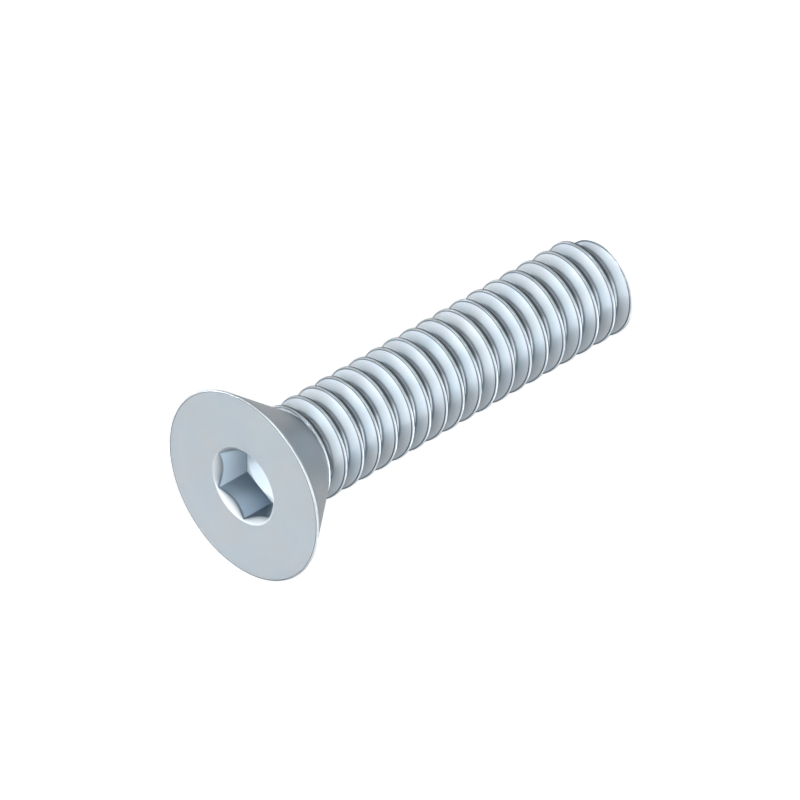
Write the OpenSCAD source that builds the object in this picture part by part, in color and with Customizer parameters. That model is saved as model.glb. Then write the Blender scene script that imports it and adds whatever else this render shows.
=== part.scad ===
// Countersunk screw with a hexagon socket. A flat head stands on a steep cone, and the
// thread runs the whole way from the cone to the end. The screw is one solid piece. It lies
// as it comes to rest, on the rim of its head and on the crest of its last turn.

/* [Thread] */
// Diameter over the crests of the thread
thread_d = 4.826; // [4:0.002:6]
// Distance from one turn to the next
pitch = 1.058; // [0.8:0.002:1.2]
// Angle between the two flanks of the thread
flank_angle = 60; // [50:1:70]
// Width of the flat that the crest is cut to
crest_flat = 0.132; // [0.08:0.002:0.2]
// Width of the flat at the bottom of the groove
root_flat = 0.264; // [0.16:0.002:0.35]
// Which way the thread winds
thread_hand = "left"; // [left, right]
// Where on the circle the first crest starts
thread_start = 340; // [0:5:355]
// Straight steps that each turn is drawn with
turn_steps = 36; // [24:4:48]

/* [Head] */
// Diameter of the flat face of the head
head_d = 9.33; // [8:0.01:11]
// Angle across the cone under the head
cone_angle = 75; // [70:1:90]
// Height of the straight rim between the face and the cone
rim_h = 0.09; // [0.04:0.01:0.3]
// Width and depth of the broken edge round the face
rim_break = 0.04; // [0.02:0.01:0.1]

/* [Socket] */
// Distance across the flats of the hexagon
socket_af = 3.175; // [2.5:0.005:3.5]
// Depth of the hexagon below the face
socket_depth = 1.83; // [1.2:0.01:2.1]
// Diameter of the hole that is drilled before the hexagon is pressed in
drill_d = 3.1; // [1.5:0.01:3.15]
// Angle across the drill's point
drill_angle = 118; // [90:1:150]
// Diameter of the round chamfer at the mouth of the socket
mouth_d = 3.81; // [3.7:0.01:4.4]
// Angle across the chamfer at the mouth of the socket
mouth_angle = 90; // [80:1:120]

/* [Length] */
// Length over all, from the face of the head to the end of the thread
screw_l = 22.225; // [12:0.005:40]
// Depth of the chamfer at the end of the thread, measured inwards from the crest
end_chamfer = 0.12; // [0.05:0.01:0.5]

/* [Rest] */
// How far the screw has rolled about its own axis
rest_roll = -5; // [-180:1:180]

/* [Hidden] */
zinc = [0.76, 0.79, 0.82];
round_fn = 96;
overrun = 1;                // how far a cutting shape runs past what it cuts

crest_r = thread_d / 2;
flank_w = (pitch - crest_flat - root_flat) / 2;
thread_depth = flank_w / tan(flank_angle / 2);
root_r = crest_r - thread_depth;

head_r = head_d / 2;
cone_slope = tan(cone_angle / 2);
cone_crest_z = rim_h + (head_r - crest_r) / cone_slope;
core_r = root_r - thread_depth / 2;
cone_end_z = rim_h + (head_r - core_r) / cone_slope;

// the threaded bar starts inside the cone and runs past the end, where it is turned to length
bar_start_z = cone_crest_z - pitch / 4;
bar_end_z = screw_l + overrun;
turns = ceil((bar_end_z - bar_start_z) / pitch);
hand = thread_hand == "left" ? -1 : 1;

hex_corner_r = socket_af / 2 / cos(30);
mouth_h = mouth_d / 2 / tan(mouth_angle / 2);
drill_r = drill_d / 2;
drill_end_z = socket_depth + drill_r / tan(drill_angle / 2);

// the screw tips until the rim of its head and its last crest are on one level
rest_tilt = atan((head_r - crest_r) / (screw_l - rim_h - end_chamfer));

// Where the outline of one turn bends, measured along the axis from the middle of a crest
bends = [
    -crest_flat / 2,
    crest_flat / 2,
    crest_flat / 2 + flank_w,
    crest_flat / 2 + flank_w + root_flat
];

// Radius of the thread at a distance w from the middle of a crest
function thread_r(w) =
    let (from_crest = abs(w - pitch * round(w / pitch)))
    lookup(from_crest, [[crest_flat / 2, crest_r], [crest_flat / 2 + flank_w, root_r]]);

// Point of the threaded bar at one step round it and at one bend along it. The bends climb
// by one pitch in each turn, and the two ends hold them back to a flat circle.
function bar_point(step, bend) =
    let (
        angle = 360 * step / turn_steps,
        climb = hand * pitch * (angle + thread_start) / 360,
        on_turn = floor(bend / len(bends)),
        z = bar_start_z + climb + (on_turn - 2) * pitch + bends[bend % len(bends)],
        held_z = min(max(z, bar_start_z), bar_end_z),
        r = thread_r(held_z - bar_start_z - climb)
    )
    [r * cos(angle), r * sin(angle), held_z];

// Round bar with the thread on it, from inside the head to past the end
module threaded_bar() {
    rows = (turns + 4) * len(bends);
    shift = hand * len(bends);
    points = [
        for (step = [0:turn_steps - 1]) for (bend = [0:rows]) bar_point(step, bend),
        [0, 0, bar_start_z],
        [0, 0, bar_end_z]
    ];
    // number of a point, where the step past the last one is the first one a turn further on
    function at(step, bend) =
        step < turn_steps
            ? step * (rows + 1) + min(max(bend, 0), rows)
            : min(max(bend + shift, 0), rows);
    foot = turn_steps * (rows + 1);
    corners = [
        for (step = [0:turn_steps - 1]) each [
            for (bend = [0:rows - 1]) each [
                [at(step, bend), at(step, bend + 1), at(step + 1, bend)],
                [at(step + 1, bend), at(step, bend + 1), at(step + 1, bend + 1)]
            ],
            [at(step, 0), at(step + 1, 0), foot],
            [at(step + 1, rows), at(step, rows), foot + 1]
        ]
    ];
    // a triangle that the held ends have closed up is left out
    faces = [
        for (c = corners)
            let (a = points[c[0]], b = points[c[1]], d = points[c[2]])
            if (a != b && b != d && d != a) c
    ];
    polyhedron(points, faces, convexity = 10);
}

// Space that the finished thread keeps to: faced to length, with its end chamfered
module turned_length() {
    side_r = crest_r + overrun;
    rotate_extrude($fn = round_fn)
        polygon([
            [0, 0],
            [side_r, 0],
            [side_r, screw_l - end_chamfer - overrun],
            [crest_r - end_chamfer, screw_l],
            [0, screw_l]
        ]);
}

// Flat face, rim and cone, with a stub of core for the thread to grow from
module head() {
    rotate_extrude($fn = round_fn)
        polygon([
            [0, 0],
            [head_r - rim_break, 0],
            [head_r, rim_break],
            [head_r, rim_h],
            [core_r, cone_end_z],
            [0, cone_end_z]
        ]);
}

// Hexagon with a chamfered mouth, pressed into a drilled hole whose point ends below it
module socket() {
    translate([0, 0, -overrun])
        cylinder(h = socket_depth + overrun, r = hex_corner_r, $fn = 6);
    rotate_extrude($fn = round_fn)
        polygon([
            [0, 0],
            [drill_r, 0],
            [drill_r, socket_depth],
            [0, drill_end_z]
        ]);
    translate([0, 0, -mouth_h])
        cylinder(h = 2 * mouth_h, r1 = mouth_d, r2 = 0, $fn = round_fn);
}

// The whole screw on its axis, with its face at zero
module upright_screw() {
    difference() {
        union() {
            head();
            intersection() {
                threaded_bar();
                turned_length();
            }
        }
        socket();
    }
}

module screw() {
    color(zinc)
        rotate([0, 90 + rest_tilt, 0])
            rotate([0, 0, rest_roll])
                upright_screw();
}

screw();
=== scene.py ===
# Looks of a countersunk screw with a hexagon socket: bright zinc plated steel, lying on a
# pale floor. Lengths in the dictionaries are millimetres and angles are degrees.
import math

import bmesh
import bpy
import numpy as np
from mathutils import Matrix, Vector


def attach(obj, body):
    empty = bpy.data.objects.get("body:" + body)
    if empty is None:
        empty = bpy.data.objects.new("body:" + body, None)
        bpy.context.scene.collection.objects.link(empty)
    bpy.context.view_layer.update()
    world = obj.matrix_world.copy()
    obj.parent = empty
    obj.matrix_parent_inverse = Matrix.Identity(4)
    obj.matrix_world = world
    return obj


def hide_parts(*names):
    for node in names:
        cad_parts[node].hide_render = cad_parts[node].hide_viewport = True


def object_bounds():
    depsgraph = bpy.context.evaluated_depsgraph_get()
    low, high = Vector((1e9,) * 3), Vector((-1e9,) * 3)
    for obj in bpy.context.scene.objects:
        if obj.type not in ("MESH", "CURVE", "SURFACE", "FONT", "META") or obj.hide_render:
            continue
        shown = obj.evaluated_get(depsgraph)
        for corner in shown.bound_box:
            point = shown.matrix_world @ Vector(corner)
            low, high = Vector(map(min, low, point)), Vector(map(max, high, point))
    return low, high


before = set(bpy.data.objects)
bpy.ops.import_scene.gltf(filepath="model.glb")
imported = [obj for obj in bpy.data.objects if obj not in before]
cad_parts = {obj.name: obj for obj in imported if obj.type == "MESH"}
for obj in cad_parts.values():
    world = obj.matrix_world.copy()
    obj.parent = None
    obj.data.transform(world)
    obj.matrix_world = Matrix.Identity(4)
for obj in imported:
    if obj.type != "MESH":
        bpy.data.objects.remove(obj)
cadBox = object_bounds()
print("frame loaded, box from", list(cadBox[0]), "to", list(cadBox[1]))

metre = 0.001  # one millimetre in metres

# The plated screw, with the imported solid's own sizes
screwPlan = {
    "threadDiameter": 4.826,
    "pitch": 1.058,
    "flankAngle": 60,
    "crestFlat": 0.132,
    "rootFlat": 0.264,
    "hand": -1,             # -1 winds left, 1 winds right
    "threadStart": 340,     # where on the circle the first crest starts
    "threadInCone": 0.25,   # how far inside the cone it starts, in pitches
    "coneOnly": 0.5,        # how far above its crests the cone stands alone, in pitches
    "headDiameter": 9.33,
    "coneAngle": 75,
    "rimHeight": 0.09,
    "rimBreak": 0.04,
    "socketAcrossFlats": 3.175,
    "socketDepth": 1.83,
    "drillDiameter": 3.1,
    "drillAngle": 118,
    "mouthDiameter": 3.81,
    "mouthAngle": 90,
    "length": 22.225,
    "endChamfer": 0.12,
    "restRoll": -5,         # how far it has rolled about its own axis

    # how far each edge is softened
    "cornerRadius": 0.06,
    "floorEdge": 0.014,
    "wallEdge": 0.03,
    "mouthEdge": 0.02,
    "faceEdge": 0.01,
    "rimEdge": 0.02,
    "crestEdge": 0.03,
    "rootEdge": 0.05,

    # how finely it is drawn, where the rows are shares of the surface that they cross
    "columnsPerFlat": 20,   # columns round each sixth of the circle, corners apart
    "cornerSteps": 2,       # columns on each half of a socket corner
    "edgeSteps": 3,         # faces across each softened edge
    "pointRows": (0, 0.5, 0.97),                # on the drill's point
    "faceRows": (0.25, 0.5, 0.75, 1),           # on the flat face
    "chamferRows": (0.15, 0.3, 0.62, 0.75, 1),  # on the chamfer at the end
    "endRows": (0.98, 0.5, 0),                  # on the flat end
    "spareTurns": 3,        # turns laid out before the first crest and past the last
    "sharpAngle": 50,       # an edge that turns further than this stays crisp
    "mergeReach": 0.0002,   # points nearer than this become one

    # Tone painted into the plating's colour: 0 is the painted shade colour, 1 is the bare colour
    # and 2 is the painted highlight colour. Painted shade darkens the grooves, the flanks' feet
    # and the socket and draws dark lines on edges; painted highlights brighten rims, crests and
    # roots.
    "tone": {
        "bare": 1,
        "root": 0.28,
        "rootMiddle": 1.2,
        "flankFoot": 0.6,
        "flankTop": 1.12,
        "crest": 2.0,
        "crestTip": 0.0,        # painted dark line on the crest's edge towards the end
        "crestHead": 0.15,      # painted dark line on the crest's edge towards the head
        "chamferEnd": 1.5,
        "end": 0.15,            # painted dark line round the flat end
        "socketLand": 1.5,      # flat that the drill's point leaves in the corners, painted bright
        "socketFoot": 0.3,
        "wallLow": 0.27,
        "wallHigh": 0.68,
        "socketEdge": 0.4,
        "chamfer": 1.0,
        "mouth": 2.0,
        "faceEdge": 0.1,        # painted dark line just inside the rim
        "rim": 2.0,
    },

    # Where the painted shade and highlights change along one turn, from the middle of a crest
    # towards the end. Under each bend of the outline: how far past it, and the tone that holds
    # there. Between two such places the tone changes evenly.
    "threadLines": {
        "turnStart": [(0, "crest")],
        "crestEnd": [(-0.064, "crest"), (-0.052, "crestTip"), (0.050, "crestTip"),
                     (0.070, "bare")],
        "rootStart": [(-0.060, "bare"), (-0.010, "root"), (0.150, "root"),
                      (0.168, "rootMiddle")],
        "rootEnd": [(-0.022, "rootMiddle"), (-0.006, "root"), (0.032, "root"),
                    (0.060, "flankFoot"), (0.2317, "bare")],
        "nextCrest": [(-0.054, "flankTop"), (-0.042, "crestHead"), (-0.022, "crestHead"),
                      (-0.012, "crest")],
        "turnEnd": [(0, "crest")],
    },

    # Where the painted shade and highlights change on the head, measured from the edge that each
    # name gives
    "headLines": {
        "landWidth": 0.034,     # of the land at the foot of the socket, painted bright
        "wallLow": 0.05,        # above the socket's foot
        "wallHigh": 0.06,       # below the mouth's chamfer
        "pooledFrom": 0.02,     # below the mouth's chamfer, where the bluer plating starts
        "chamferAt": 0.4,       # share of the chamfer's width
        "pastMouth": 0.04,
        "faceEnd": 0.05,        # inside the face's edge, as the next two are
        "faceLineIn": 0.037,
        "faceLineOut": 0.012,
        "pastRim": 0.03,        # down the cone
    },
}


# Depth at which the cone under the head has a radius, and the radius that it has at a depth:
# the cone narrows from the foot of the rim by the tangent of half its angle
def coneDepth(radius, plan):
    coneSlope = math.tan(math.radians(plan["coneAngle"] / 2))
    return plan["rimHeight"] + (plan["headDiameter"] / 2 - radius) / coneSlope


def coneRadius(depth, plan):
    coneSlope = math.tan(math.radians(plan["coneAngle"] / 2))
    return plan["headDiameter"] / 2 - (depth - plan["rimHeight"]) * coneSlope


# Angle by which the lying screw's end is lower than its head: its tangent is the rise, by which
# the rim stands out further than the crests, over the run, from the rim to the last crest
def restTilt(plan):
    rise = (plan["headDiameter"] - plan["threadDiameter"]) / 2
    run = plan["length"] - plan["rimHeight"] - plan["endChamfer"]
    return math.atan2(rise, run)


# Rounds a profile: each corner becomes a quadratic curve that leaves the first line a reach
# before the corner and joins the second line a reach after it. A corner with no reach stays
# one point. All columns are worked out at once, and each corner's tone goes with its rows.
def softProfile(corners, steps):
    rows = []
    tones = []
    spots = [np.stack([radius, depth]) for radius, depth, _, _ in corners]
    for i, (_, _, reach, tone) in enumerate(corners):
        here = spots[i]
        if reach == 0:
            rows.append(here[None])
            tones.append(tone)
            continue
        before = spots[i - 1] - here
        after = spots[i + 1] - here
        start = here + before * reach / np.hypot(*before)
        end = here + after * reach / np.hypot(*after)
        s = np.linspace(0, 1, steps + 1)[:, None, None]
        rows.append((1 - s) ** 2 * start + 2 * s * (1 - s) * here + s ** 2 * end)
        tones += [tone] * (steps + 1)
    rows = np.concatenate(rows)
    return rows[:, 0], rows[:, 1], np.array(tones)


# Radius of the small circle in each corner of the socket, and how far its middle stands from
# the axis: half the width less that radius, over the cosine of half a sixth of the circle
def cornerCircle(plan):
    arc = plan["cornerRadius"]
    return arc, (plan["socketAcrossFlats"] / 2 - arc) / math.cos(math.radians(30))


# Angles of the columns: in each sixth of the circle, points on the rounded corner and then
# even steps along the flat, so that a column stands on each end of every curve
def socketColumns(plan):
    arc, centre = cornerCircle(plan)
    turn = np.radians(np.linspace(0, 30, plan["cornerSteps"] + 1))
    corner = np.degrees(np.arctan2(arc * np.sin(turn), centre + arc * np.cos(turn)))
    flat = np.linspace(corner[-1], 60 - corner[-1], plan["columnsPerFlat"] + 1)
    sixth = np.concatenate([corner[:-1], flat, 60 - corner[-2:0:-1]])
    angles = np.concatenate([sixth + 60 * k for k in range(6)] + [[360]])
    return np.radians(angles)


# Distance from the axis to a hexagon with round corners: half the width over the cosine of
# the angle from the middle of a flat, and near a corner the far side of its small circle
def hexagonRadius(angles, plan):
    arc, centre = cornerCircle(plan)
    fromCorner = (np.degrees(angles) + 30) % 60 - 30
    fromFlat = np.radians(30 - np.abs(fromCorner))
    off = np.radians(fromCorner)
    flat = plan["socketAcrossFlats"] / 2 / np.cos(fromFlat)
    inside = np.maximum(arc ** 2 - (centre * np.sin(off)) ** 2, 0)
    curve = centre * np.cos(off) + np.sqrt(inside)
    turn = math.radians(30)
    limit = math.atan2(arc * math.sin(turn), centre + arc * math.cos(turn))
    return np.where(np.abs(off) < limit, curve, flat)


# Outline of one turn and its painted shade and highlights, from the middle of one crest to the
# middle of the next: flat crest, straight flank, flat root and flank again, with every bend
# softened. A row is added wherever the painted tone changes, so that a line stays as narrow as it
# is written.
def threadOutline(plan):
    tone = plan["tone"]
    lines = plan["threadLines"]
    crest = plan["threadDiameter"] / 2
    turn = plan["pitch"]
    flank = (turn - plan["crestFlat"] - plan["rootFlat"]) / 2
    root = crest - flank / math.tan(math.radians(plan["flankAngle"] / 2))
    crestEnd = plan["crestFlat"] / 2
    rootStart = crestEnd + flank
    bends = {"turnStart": 0, "crestEnd": crestEnd, "rootStart": rootStart,
             "rootEnd": turn - rootStart, "nextCrest": turn - crestEnd, "turnEnd": turn}
    radii = [crest, crest, root, root, crest, crest]
    edges = [0, plan["crestEdge"], plan["rootEdge"], plan["rootEdge"], plan["crestEdge"], 0]
    corners = [(np.full(1, radius), np.full(1, bend), reach, tone["bare"])
               for radius, bend, reach in zip(radii, bends.values(), edges)]
    softRadius, softAlong, _ = softProfile(corners, plan["edgeSteps"])
    marks = [(bends[bend] + past, tone[name]) for bend in bends for past, name in lines[bend]]
    places, values = np.array(marks).T
    along = np.unique(np.concatenate([softAlong[:, 0], places]).round(6))
    radius = np.interp(along, softAlong[:, 0], softRadius[:, 0])
    return along, radius, np.interp(along, places, values)


# Rows from the drill's point up the socket's walls, over the face and round the rim to the
# cone. The chamfer's lower edge follows the hexagon, so it dips at each flat. Each row carries
# its painted tone: painted shade on the socket's walls and dark lines at edges, and painted
# highlights on the land, the mouth and the rim.
def headRows(angles, plan):
    tone = plan["tone"]
    lines = plan["headLines"]
    even = np.ones_like(angles)
    hexagon = hexagonRadius(angles, plan)
    floor = plan["socketDepth"]
    drill = plan["drillDiameter"] / 2
    point = drill / math.tan(math.radians(plan["drillAngle"] / 2))
    mouth = plan["mouthDiameter"] / 2
    dip = (mouth - hexagon) / math.tan(math.radians(plan["mouthAngle"] / 2))
    chamferAt = lines["chamferAt"]
    head = plan["headDiameter"] / 2
    flat = head - plan["rimBreak"]
    faceWidth = flat - lines["faceEnd"] - mouth
    coneStart = head - lines["pastRim"]
    coneEnd = coneDepth(plan["threadDiameter"] / 2, plan) - plan["coneOnly"] * plan["pitch"]
    corners = [(s * drill, floor + (1 - s) * point, 0, "bare") for s in plan["pointRows"]]
    corners += [
        (drill, floor, 0, "socketLand"),
        (hexagon - lines["landWidth"], floor, 0, "socketLand"),
        (hexagon, floor, plan["floorEdge"], "socketFoot"),
        (hexagon, floor - lines["wallLow"], 0, "wallLow"),
        (hexagon, dip + lines["wallHigh"], 0, "wallHigh"),
        (hexagon, dip, plan["wallEdge"], "socketEdge"),
        (hexagon + chamferAt * (mouth - hexagon), (1 - chamferAt) * dip, 0, "chamfer"),
        (mouth, 0, plan["mouthEdge"], "mouth"),
        (mouth + lines["pastMouth"], 0, 0, "bare"),
    ]
    corners += [(mouth + s * faceWidth, 0, 0, "bare") for s in plan["faceRows"]]
    corners += [
        (flat - lines["faceLineIn"], 0, 0, "faceEdge"),
        (flat - lines["faceLineOut"], 0, 0, "faceEdge"),
        (flat, 0, plan["faceEdge"], "rim"),
        (head, plan["rimBreak"], plan["faceEdge"], "rim"),
        (head, plan["rimHeight"], plan["rimEdge"], "rim"),
        (coneStart, coneDepth(coneStart, plan), 0, "bare"),
        (coneRadius(coneEnd, plan), coneEnd, 0, "bare"),
    ]
    corners = [(radius * even, depth * even, reach, tone[name])
               for radius, depth, reach, name in corners]
    radius, depth, rowTone = softProfile(corners, plan["edgeSteps"])
    pooled = (radius < hexagon + plan["mergeReach"]) & (depth > dip + lines["pooledFrom"])
    return radius, depth, rowTone[:, None] * even, pooled * 1.0, coneEnd


# Rows of the threaded shank. Each row keeps its place on the outline and climbs one pitch in
# a turn, held between the cone and the end's chamfer, which has level rows of its own. The
# radius is the larger of cone and thread, cut back by the chamfer. The thread carries its painted
# shade and highlights, the cone is bare, the chamfer is painted bright and the last edge painted
# dark.
def shankRows(angles, plan, startDepth):
    tone = plan["tone"]
    along, outline, outlineTone = threadOutline(plan)
    pitch = plan["pitch"]
    spare = plan["spareTurns"]
    crest = plan["threadDiameter"] / 2
    climb = plan["hand"] * pitch * (angles / (2 * math.pi) + plan["threadStart"] / 360)
    turns = math.ceil((plan["length"] - startDepth) / pitch) + 2 * spare
    start = coneDepth(crest, plan) - plan["threadInCone"] * pitch - spare * pitch
    row = np.concatenate([along[:-1] + k * pitch for k in range(turns)])
    endDepth = plan["length"] - plan["endChamfer"]
    depth = np.clip(start + row[:, None] + climb[None], startDepth, endDepth)
    last = endDepth + plan["endChamfer"] * np.array(plan["chamferRows"])
    depth = np.concatenate([depth, last[:, None] + 0 * climb[None]])
    place = (depth - climb[None] - start) % pitch
    thread = np.interp(place, along, outline)
    chamfer = crest - plan["endChamfer"] + (plan["length"] - depth)
    radius = np.minimum(np.maximum(coneRadius(depth, plan), thread), chamfer)
    rowTone = np.where(radius == thread, np.interp(place, along, outlineTone), tone["bare"])
    rowTone[radius == chamfer] = tone["chamferEnd"]
    rowTone[-2:] = tone["end"]
    return radius, depth, rowTone


# Rolls the upright screw about its axis, then tips it over until the rim of the head and the
# last crest are on one level, and turns millimetres to metres
def layDown(points, plan):
    roll = math.radians(plan["restRoll"])
    tip = math.radians(90) + restTilt(plan)
    x = points[:, 0] * math.cos(roll) - points[:, 1] * math.sin(roll)
    y = points[:, 0] * math.sin(roll) + points[:, 1] * math.cos(roll)
    z = points[:, 2]
    across = x * math.cos(tip) + z * math.sin(tip)
    up = z * math.cos(tip) - x * math.sin(tip)
    return np.stack([across, y, up], axis=1) * metre


# Corner numbers of the quads between neighbouring rows and columns of a grid
def gridFaces(rows, columns):
    first = (np.arange(rows - 1)[:, None] * columns + np.arange(columns - 1)[None]).ravel()
    return np.stack([first, first + 1, first + columns + 1, first + columns], axis=1)


# Puts a grid's points and quads into a mesh with its values on the points, closes its seam
# and poles by merging the points that coincide, and shades it smooth up to the sharp angle
def meshPiece(name, points, faces, values, plan):
    mesh = bpy.data.meshes.new(name)
    mesh.from_pydata(points, [], faces.tolist())
    for key, value in values.items():
        mesh.attributes.new(key, "FLOAT", "POINT").data.foreach_set("value", value.ravel())
    work = bmesh.new()
    work.from_mesh(mesh)
    bmesh.ops.remove_doubles(work, verts=work.verts, dist=plan["mergeReach"] * metre)
    bmesh.ops.recalc_face_normals(work, faces=work.faces)
    work.to_mesh(mesh)
    work.free()
    mesh.shade_smooth()
    mesh.set_sharp_from_angle(angle=math.radians(plan["sharpAngle"]))
    piece = bpy.data.objects.new(name, mesh)
    bpy.context.scene.collection.objects.link(piece)
    return piece


# The screw's whole skin as one grid: its rows run from the drill's point over the head and
# along the thread to the middle of the end, and its columns run round the axis
def makeScrew(plan):
    angles = socketColumns(plan)
    headRadius, headDepth, headTone, pooled, coneEnd = headRows(angles, plan)
    shankRadius, shankDepth, shankTone = shankRows(angles, plan, coneEnd)
    endRadius = np.stack([shankRadius[-1] * s for s in plan["endRows"]])
    radius = np.concatenate([headRadius, shankRadius, endRadius])
    depth = np.concatenate([headDepth, shankDepth, np.full_like(endRadius, plan["length"])])
    tones = np.concatenate([headTone, shankTone, np.full_like(endRadius, plan["tone"]["bare"])])
    blues = np.zeros_like(tones)
    blues[:len(pooled)] = pooled
    x = radius * np.cos(angles)
    y = radius * np.sin(angles)
    points = layDown(np.stack([x.ravel(), y.ravel(), depth.ravel()], axis=1), plan)
    values = {"tone": tones, "pooled": blues}
    return meshPiece("plated_screw", points, gridFaces(*radius.shape), values, plan)


# Turns an sRGB hex colour to the linear values that Blender's sockets take
def linear(hexColour):
    parts = [int(hexColour[i:i + 2], 16) / 255 for i in (0, 2, 4)]
    return [p / 12.92 if p <= 0.04045 else ((p + 0.055) / 1.055) ** 2.4 for p in parts] + [1]


# Adds a node with its settings, by attribute name or socket, and its incoming links
def addNode(tree, kind, settings=None, links=None):
    node = tree.nodes.new(kind)
    for key, value in (settings or {}).items():
        if isinstance(key, int) or key in node.inputs:
            node.inputs[key].default_value = value
        else:
            setattr(node, key, value)
    for key, source in (links or {}).items():
        tree.links.new(source, node.inputs[key])
    return node


# An empty material, ready for its nodes
def newMaterial(name):
    material = bpy.data.materials.new(name)
    material.use_nodes = True
    material.node_tree.nodes.clear()
    return material


# Zinc plated steel with a clear bluish passivation, barrel plated: a satin metal whose grey
# drifts a little towards blue, and whose reflections are soft
zincFinish = {
    "cool": "bcc8d1",
    "warm": "c1c8ce",
    "pooled": "bccad5",     # in the socket, where the passivation stays longer
    "paintedShade": "384a59",       # painted shade colour, where the tone is 0
    "paintedHighlight": "edf5fb",     # painted highlight colour, where the tone is 2
    "cloud": 1.6,           # size of the colour clouds
    "cloudRange": (0.36, 0.64),     # part of the clouds' noise that goes from cool to warm
    "grain": 0.12,          # size of the plating's grain, drawn coarser than real to show
    "roughness": 0.34,
    "roughnessSpread": 0.04,
    "bump": 0.010,          # height of the grain
}


def zincPlatedSteel(look):
    material = newMaterial("zinc_plated_steel_blue_passivated")
    tree = material.node_tree
    place = addNode(tree, "ShaderNodeTexCoord").outputs["Object"]
    clouds = addNode(tree, "ShaderNodeTexNoise",
                     {"Scale": 1 / (look["cloud"] * metre), "Detail": 5, "Roughness": 0.62},
                     {"Vector": place})
    grain = addNode(tree, "ShaderNodeTexNoise",
                    {"Scale": 1 / (look["grain"] * metre), "Detail": 2, "Roughness": 0.6},
                    {"Vector": place})
    # slow clouds from the cool grey to the warm one, bluer where the passivation pooled
    low, high = look["cloudRange"]
    drift = addNode(tree, "ShaderNodeMapRange", {"From Min": low, "From Max": high},
                    {"Value": clouds.outputs["Fac"]})
    tint = addNode(tree, "ShaderNodeMix",
                   {"data_type": "RGBA", 6: linear(look["cool"]), 7: linear(look["warm"])},
                   {0: drift.outputs[0]})
    pooled = addNode(tree, "ShaderNodeAttribute", {"attribute_name": "pooled"}).outputs["Fac"]
    blued = addNode(tree, "ShaderNodeMix", {"data_type": "RGBA", 7: linear(look["pooled"])},
                    {0: pooled, 6: tint.outputs[2]})
    # the tone goes from the painted shade colour at 0 through the bare colour at 1 to the painted
    # highlight colour at 2
    tone = addNode(tree, "ShaderNodeAttribute", {"attribute_name": "tone"}).outputs["Fac"]
    toned = addNode(tree, "ShaderNodeMix", {"data_type": "RGBA", 6: linear(look["paintedShade"])},
                    {0: tone, 7: blued.outputs[2]})
    highlightShare = addNode(tree, "ShaderNodeMath", {"operation": "SUBTRACT", 1: 1.0}, {0: tone})
    colour = addNode(tree, "ShaderNodeMix", {"data_type": "RGBA", 7: linear(look["paintedHighlight"])},
                     {0: highlightShare.outputs[0], 6: toned.outputs[2]})
    spread = look["roughnessSpread"]
    rough = addNode(tree, "ShaderNodeMapRange",
                    {"To Min": look["roughness"] - spread, "To Max": look["roughness"] + spread},
                    {"Value": grain.outputs["Fac"]})
    bump = addNode(tree, "ShaderNodeBump",
                   {"Strength": 1.0, "Distance": look["bump"] * metre},
                   {"Height": grain.outputs["Fac"]})
    metal = addNode(tree, "ShaderNodeBsdfPrincipled", {"Metallic": 1.0},
                    {"Base Color": colour.outputs[2], "Roughness": rough.outputs["Result"],
                     "Normal": bump.outputs["Normal"]})
    addNode(tree, "ShaderNodeOutputMaterial", None, {"Surface": metal.outputs["BSDF"]})
    return material


screw = makeScrew(screwPlan)
screw.data.materials.append(zincPlatedSteel(zincFinish))
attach(screw, "root")
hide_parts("screw")
print("screw made with", len(screw.data.polygons), "faces")

# The photograph's view: parallel, with the screw's axis up to the right and going away
cameraView = {
    "axisDepth": -0.5803,   # how much of the axis points at the camera
    "axisAngle": 29.9,      # angle of the axis in the picture, above the horizontal
    "pixelsPerMm": 22.44,
    "frame": 800,
    "headAt": (243.2, 486.0),   # pixel on which the middle of the face lies
    "distance": 200,
}


# Finds the azimuth and elevation at which the tipped axis shows as the photograph has it: the
# axis's part to the right fixes the azimuth and its part upwards fixes the elevation
def makeCamera(view, plan):
    tilt = restTilt(plan)
    flat = math.sqrt(1 - view["axisDepth"] ** 2)
    right = flat * math.cos(math.radians(view["axisAngle"]))
    upward = flat * math.sin(math.radians(view["axisAngle"]))
    azimuth = -math.acos(right / math.cos(tilt))
    away = -math.sin(azimuth) * math.cos(tilt)
    down = math.sin(tilt)
    elevation = math.asin(upward / math.hypot(away, down)) + math.atan2(down, away)
    back = Vector((math.sin(azimuth) * math.cos(elevation),
                   -math.cos(azimuth) * math.cos(elevation), math.sin(elevation)))
    side = Vector((math.cos(azimuth), math.sin(azimuth), 0))
    up = back.cross(side)
    middle = view["frame"] / 2
    offRight = (middle - view["headAt"][0]) / view["pixelsPerMm"]
    offUp = (view["headAt"][1] - middle) / view["pixelsPerMm"]
    camera = bpy.data.objects.new("camera", bpy.data.cameras.new("camera"))
    camera.data.type = "ORTHO"
    camera.data.ortho_scale = view["frame"] / view["pixelsPerMm"] * metre
    camera.data.clip_start = 0.001
    camera.data.clip_end = 2
    camera.location = (back * view["distance"] + side * offRight + up * offUp) * metre
    camera.rotation_mode = "QUATERNION"
    camera.rotation_quaternion = (-back).to_track_quat("-Z", "Y")
    bpy.context.scene.collection.objects.link(camera)
    bpy.context.scene.camera = camera
    print("camera at azimuth", math.degrees(azimuth), "elevation", math.degrees(elevation))


# A pale floor that the camera sees as white paper
floorLook = {
    "size": 600,
    "colour": "d8d9da",
    "lift": 0.65,           # glow that only the camera sees
}


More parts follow.
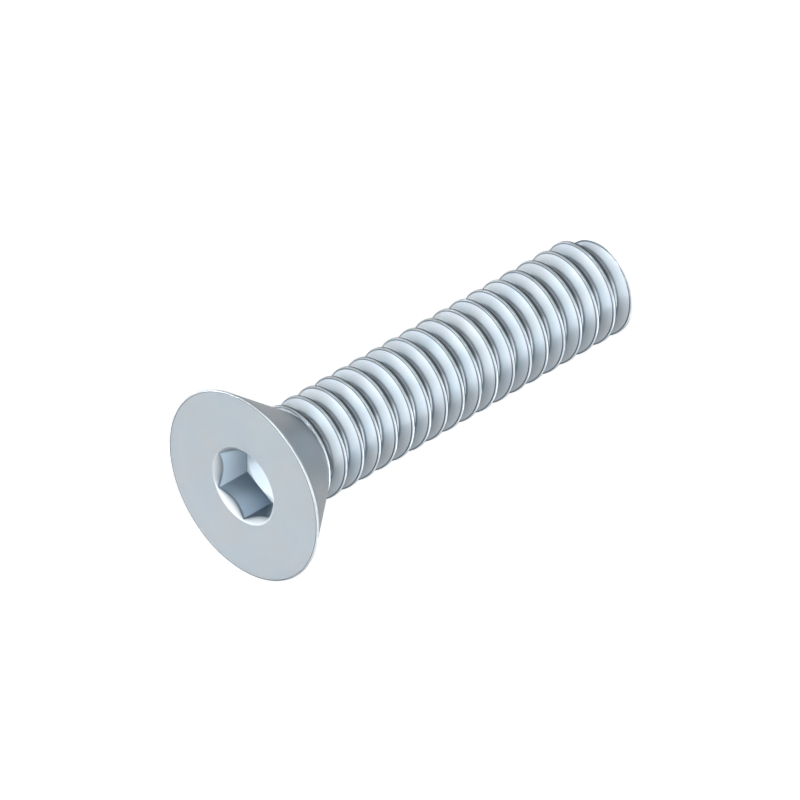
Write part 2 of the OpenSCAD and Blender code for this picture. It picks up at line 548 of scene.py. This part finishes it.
# One square under the screw. Reflections go through it, so that the metal mirrors the studio
# on every side.
def makeFloor(look, level):
    half = look["size"] / 2 * metre
    mesh = bpy.data.meshes.new("floor")
    mesh.from_pydata([(-half, -half, level), (half, -half, level), (half, half, level),
                      (-half, half, level)], [], [(0, 1, 2, 3)])
    floor = bpy.data.objects.new("floor", mesh)
    bpy.context.scene.collection.objects.link(floor)
    material = newMaterial("white_paper")
    tree = material.node_tree
    matt = addNode(tree, "ShaderNodeBsdfDiffuse", {"Color": linear(look["colour"])})
    light = addNode(tree, "ShaderNodeLightPath")
    lift = addNode(tree, "ShaderNodeMath", {"operation": "MULTIPLY", 1: look["lift"]},
                   {0: light.outputs["Is Camera Ray"]})
    glow = addNode(tree, "ShaderNodeEmission", {"Color": (1, 1, 1, 1)},
                   {"Strength": lift.outputs[0]})
    both = addNode(tree, "ShaderNodeAddShader", None, {0: matt.outputs[0], 1: glow.outputs[0]})
    clear = addNode(tree, "ShaderNodeBsdfTransparent")
    seen = addNode(tree, "ShaderNodeMixShader", None,
                   {0: light.outputs["Is Glossy Ray"], 1: both.outputs[0], 2: clear.outputs[0]})
    addNode(tree, "ShaderNodeOutputMaterial", None, {"Surface": seen.outputs[0]})
    mesh.materials.append(material)


# Far soft lamps that throw no shadow, so that the grooves and the socket are lit as the faces
# are. Towards is the way from the screw to the lamp, the angle is the width of its disc and
# the light is the disc's brightness.
lamps = {
    "key": {"towards": (-0.953, -0.033, 0.351), "angle": 74, "light": 1.36},
    "wall": {"towards": (-0.633, 0.782, -0.103), "angle": 76, "light": 0.57},
    "left": {"towards": (-0.581, 0.763, 0.287), "angle": 64, "light": 0.48},
    "strip": {"towards": (0.575, -0.797, 0.151), "angle": 50, "light": 1.1},
    "upper": {"towards": (0.677, -0.027, 0.735), "angle": 46, "light": 0.28},
    "bounce": {"towards": (0.506, -0.625, -0.604), "angle": 60, "light": 0.92},
    "table": {"towards": (-0.483, -0.486, -0.729), "angle": 60, "light": 0.31},
}


# A sun lamp's energy is its disc's brightness times pi times the squared sine of half its width
def makeLamps(looks):
    for name, look in looks.items():
        data = bpy.data.lights.new(name, "SUN")
        data.angle = math.radians(look["angle"])
        data.energy = look["light"] * math.pi * math.sin(data.angle / 2) ** 2
        data.use_shadow = False
        data.cycles.use_multiple_importance_sampling = False
        lamp = bpy.data.objects.new(name, data)
        lamp.rotation_mode = "QUATERNION"
        lamp.rotation_quaternion = (-Vector(look["towards"])).to_track_quat("-Z", "Y")
        bpy.context.scene.collection.objects.link(lamp)


# The studio round the screw, from straight down at -1 to straight up at 1, and the brightness
# at each height: a pale band a little below the horizon, and a darker ceiling
studio = {"heights": [(-1.0, 0.42), (-0.70, 0.42), (-0.45, 0.60), (0.05, 0.37),
                      (0.40, 0.24), (1.0, 0.24)]}


# A ramp over the height of the ray, and plain white where the camera looks past the floor
def makeWorld(look):
    world = bpy.data.worlds.new("studio")
    bpy.context.scene.world = world
    world.use_nodes = True
    tree = world.node_tree
    tree.nodes.clear()
    towards = addNode(tree, "ShaderNodeTexCoord").outputs["Generated"]
    height = addNode(tree, "ShaderNodeSeparateXYZ", None, {0: towards}).outputs["Z"]
    place = addNode(tree, "ShaderNodeMapRange", {"From Min": -1, "From Max": 1}, {"Value": height})
    curve = addNode(tree, "ShaderNodeValToRGB", None, {0: place.outputs[0]})
    steps = curve.color_ramp.elements
    for i, (level, value) in enumerate(look["heights"]):
        at = (level + 1) / 2
        step = steps[i] if i < 2 else steps.new(at)
        step.position = at
        step.color = (value, value, value, 1)
    white = addNode(tree, "ShaderNodeLightPath").outputs["Is Camera Ray"]
    seen = addNode(tree, "ShaderNodeMix", {"data_type": "FLOAT", 3: 1.0},
                   {0: white, 2: curve.outputs[0]})
    sky = addNode(tree, "ShaderNodeBackground", {"Color": (1, 1, 1, 1)},
                  {"Strength": seen.outputs[0]})
    addNode(tree, "ShaderNodeOutputWorld", None, {"Surface": sky.outputs[0]})


makeCamera(cameraView, screwPlan)
makeFloor(floorLook, cadBox[0].z)
makeLamps(lamps)
makeWorld(studio)
bpy.context.scene.view_settings.view_transform = "Standard"
print("camera, floor and lights made")
